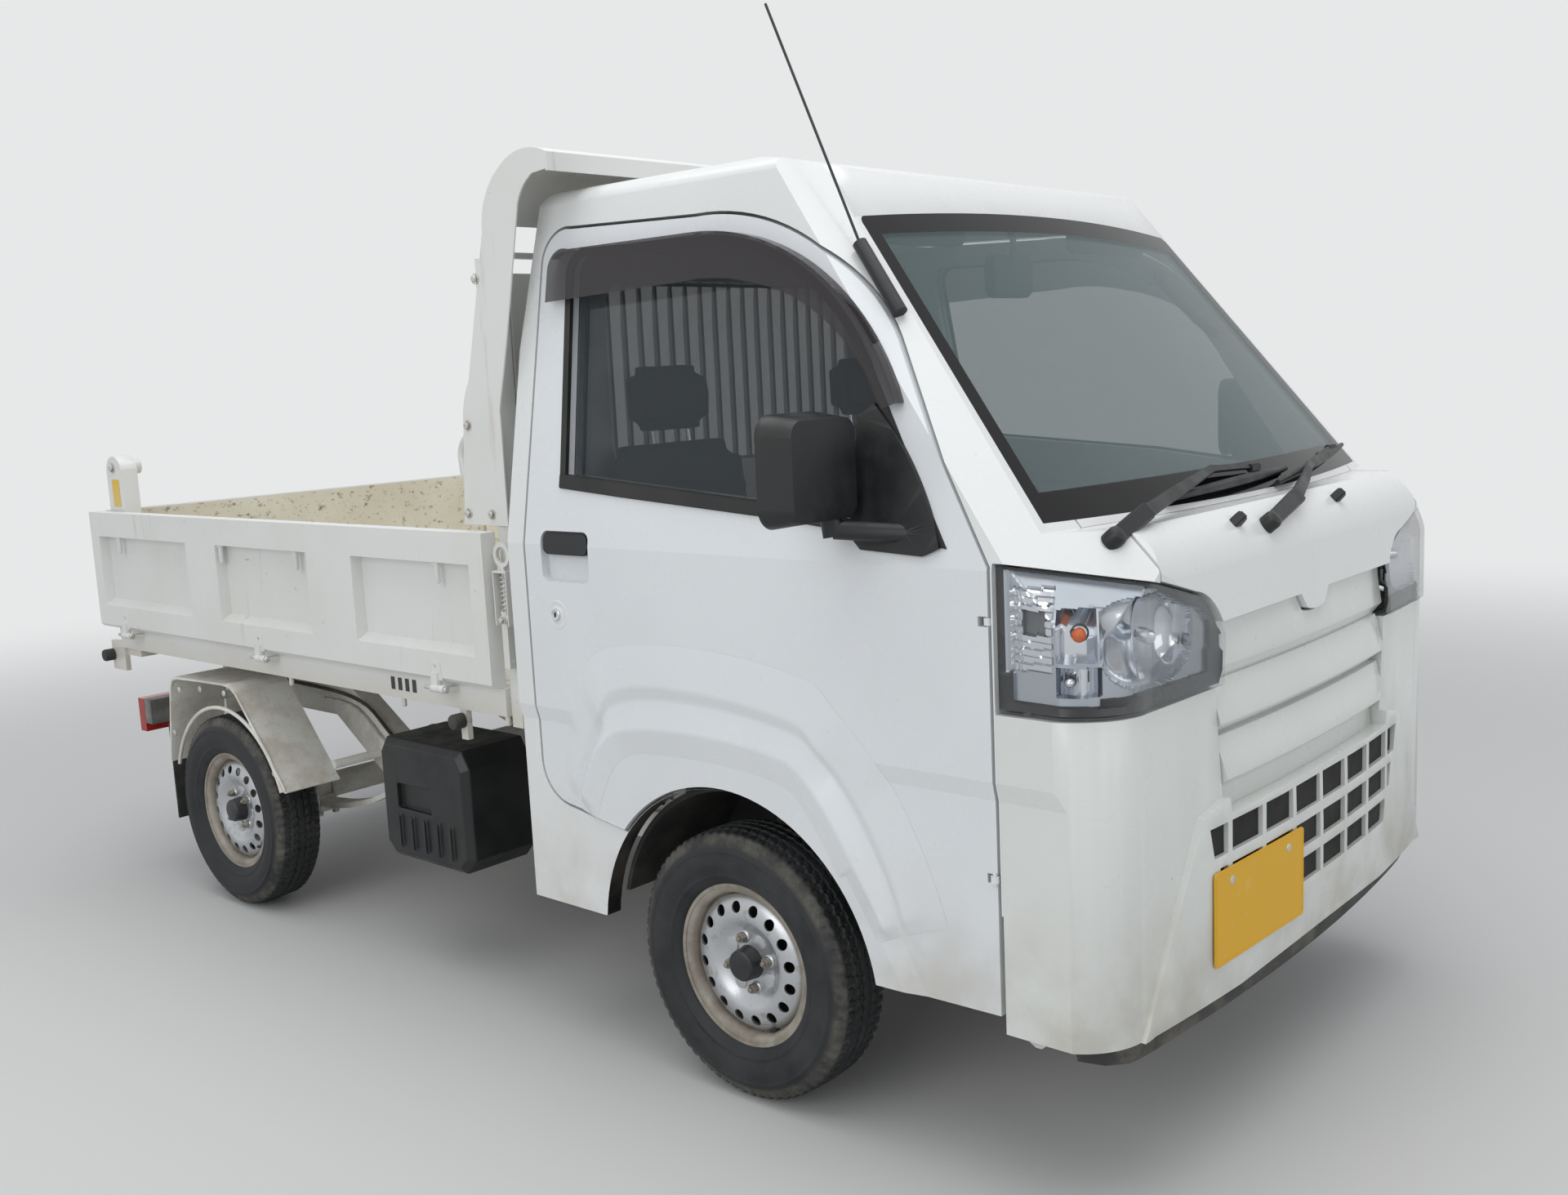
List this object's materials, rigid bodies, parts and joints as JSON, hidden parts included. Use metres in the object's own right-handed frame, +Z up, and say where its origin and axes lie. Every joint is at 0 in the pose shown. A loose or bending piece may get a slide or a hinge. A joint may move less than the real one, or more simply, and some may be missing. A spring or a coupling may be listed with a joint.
{
  "type": "kei dump truck",
  "caption": "Small right-hand-drive cab-over tipping truck with a closed cab, a drop-side steel load bed, a cab guard and a hung tailgate.",
  "frame": {"origin": "middle of the box on the ground, under the truck", "axes": "+Z up, the front faces -Y, the driver sits on the -X side"},
  "size_m": [1.834, 3.401, 2.0169],
  "materials": {
    "white_paint": "gloss",
    "bumper_paint": "satin",
    "door_paint": "gloss",
    "bed_paint": "worn gloss",
    "window_glass": "clear",
    "smoked_visor": "smoked",
    "black_plastic": "textured",
    "lamp_clear": "clear",
    "lamp_chrome": "mirror",
    "plate_yellow": "gloss",
    "dark_trim": "grained",
    "seat_cloth": "woven",
    "frame_paint": "stained",
    "cast_metal": "dirty",
    "rubber_black": "matt",
    "beam_grey": "worn",
    "lamp_red": "gloss",
    "hoist_steel": "satin",
    "rod_chrome": "bright",
    "tyre_rubber": "dusty",
    "wheel_silver": "satin silver"
  },
  "bodies": {
    "chassis": {"side_frames": "white_paint", "roof_panel": "white_paint", "back_panel": "white_paint", "cowl": "white_paint", "bonnet_panel": "white_paint", "floor_pan": "white_paint", "grille_panel": "bumper_paint", "front_bumper": "bumper_paint", "windscreen": "window_glass", "rear_window": "window_glass", "headlamp_lenses": "lamp_clear", "headlamp_bowls": "lamp_chrome", "number_plates": "plate_yellow", "wipers": "black_plastic", "aerial": "black_plastic", "battery_box": "black_plastic", "dashboard": "black_plastic", "seats": "seat_cloth", "frame": "frame_paint", "rear_fenders": "frame_paint", "rear_axle": "frame_paint", "powertrain": "cast_metal", "front_suspension": "cast_metal", "exhaust": "cast_metal", "mud_flaps": "rubber_black", "rear_bumper": "beam_grey", "tail_lamps": "lamp_red", "fuel_tank": "hoist_steel"},
    "door_right": {"door_right": "door_paint", "door_glass_right": "window_glass", "door_visor_right": "smoked_visor", "mirror_right": "black_plastic"},
    "door_left": {"door_left": "door_paint", "door_glass_left": "window_glass", "door_visor_left": "smoked_visor", "mirror_left": "black_plastic"},
    "bed": {"bed_floor": "bed_paint", "bed_guard": "bed_paint", "gate_latches": "bed_paint"},
    "gate_right": {"gate_right": "bed_paint"},
    "gate_left": {"gate_left": "bed_paint"},
    "tailgate": {"tailgate": "bed_paint"},
    "hoist_cylinder": {"hoist_cylinder": "hoist_steel"},
    "hoist_rod": {"hoist_rod": "rod_chrome"},
    "steering_wheel": {"steering_wheel": "dark_trim"},
    "knuckle_right": {"knuckle_right": "cast_metal"},
    "knuckle_left": {"knuckle_left": "cast_metal"},
    "wheel_front_right": {"tyre_front_right": "tyre_rubber", "rim_front_right": "wheel_silver"},
    "wheel_front_left": {"tyre_front_left": "tyre_rubber", "rim_front_left": "wheel_silver"},
    "wheel_rear_right": {"tyre_rear_right": "tyre_rubber", "rim_rear_right": "wheel_silver"},
    "wheel_rear_left": {"tyre_rear_left": "tyre_rubber", "rim_rear_left": "wheel_silver"}
  },
  "joints": [
    {"name": "steer_left", "type": "hinge", "parent": "chassis", "child": "knuckle_left", "pos_m": [0.59, -0.857, 0.265], "axis": [0, 0, 1], "range_deg": [-35, 35]},
    {"name": "steer_right", "type": "hinge", "parent": "chassis", "child": "knuckle_right", "pos_m": [-0.59, -0.857, 0.265], "axis": [0, 0, 1], "range_deg": [-35, 35]},
    {"name": "steering_wheel_turn", "type": "hinge", "parent": "chassis", "child": "steering_wheel", "pos_m": [-0.34, -1.12, 1.035], "axis": [0, 0.6198, 0.7848], "range_deg": [-540, 540]},
    {"name": "wheel_front_right_roll", "type": "hinge", "parent": "knuckle_right", "child": "wheel_front_right", "pos_m": [-0.6525, -0.857, 0.265], "axis": [1, 0, 0], "continuous": true},
    {"name": "wheel_front_left_roll", "type": "hinge", "parent": "knuckle_left", "child": "wheel_front_left", "pos_m": [0.6525, -0.857, 0.265], "axis": [1, 0, 0], "continuous": true},
    {"name": "wheel_rear_right_roll", "type": "hinge", "parent": "chassis", "child": "wheel_rear_right", "pos_m": [-0.65, 1.043, 0.265], "axis": [1, 0, 0], "continuous": true},
    {"name": "wheel_rear_left_roll", "type": "hinge", "parent": "chassis", "child": "wheel_rear_left", "pos_m": [0.65, 1.043, 0.265], "axis": [1, 0, 0], "continuous": true},
    {"name": "door_right_swing", "type": "hinge", "parent": "chassis", "child": "door_right", "pos_m": [-0.7305, -1.455, 0.9], "axis": [0, 0, 1], "range_deg": [0, 65]},
    {"name": "door_left_swing", "type": "hinge", "parent": "chassis", "child": "door_left", "pos_m": [0.7305, -1.455, 0.9], "axis": [0, 0, -1], "range_deg": [0, 65]},
    {"name": "bed_tip", "type": "hinge", "parent": "chassis", "child": "bed", "pos_m": [0, 1.49, 0.612], "axis": [-1, 0, 0], "range_deg": [0, 47]},
    {"name": "gate_right_drop", "type": "hinge", "parent": "bed", "child": "gate_right", "pos_m": [-0.7425, 0.75, 0.724], "axis": [0, -1, 0], "range_deg": [0, 170]},
    {"name": "gate_left_drop", "type": "hinge", "parent": "bed", "child": "gate_left", "pos_m": [0.7425, 0.75, 0.724], "axis": [0, 1, 0], "range_deg": [0, 170]},
    {"name": "tailgate_swing", "type": "hinge", "parent": "bed", "child": "tailgate", "pos_m": [0, 1.556, 1.2], "axis": [1, 0, 0], "range_deg": [0, 90]},
    {"name": "hoist_swing", "type": "hinge", "parent": "chassis", "child": "hoist_cylinder", "pos_m": [0, 0.25, 0.47], "axis": [1, 0, 0], "range_deg": [0, 17.17]},
    {"name": "hoist_slide", "type": "slide", "parent": "hoist_cylinder", "child": "hoist_rod", "axis": [0, 0.984, 0.1781], "range_m": [0, 0.1902]}
  ],
  "couplings": [
    {"joint": "steer_right", "follows": "steer_left", "ratio": 1},
    {"joint": "steering_wheel_turn", "follows": "steer_left", "ratio": 15.4},
    {"joint": "hoist_swing", "follows": "bed_tip", "ratio": 0.34405},
    {"joint": "hoist_slide", "follows": "bed_tip", "m_per_rad": 0.22943}
  ]
}
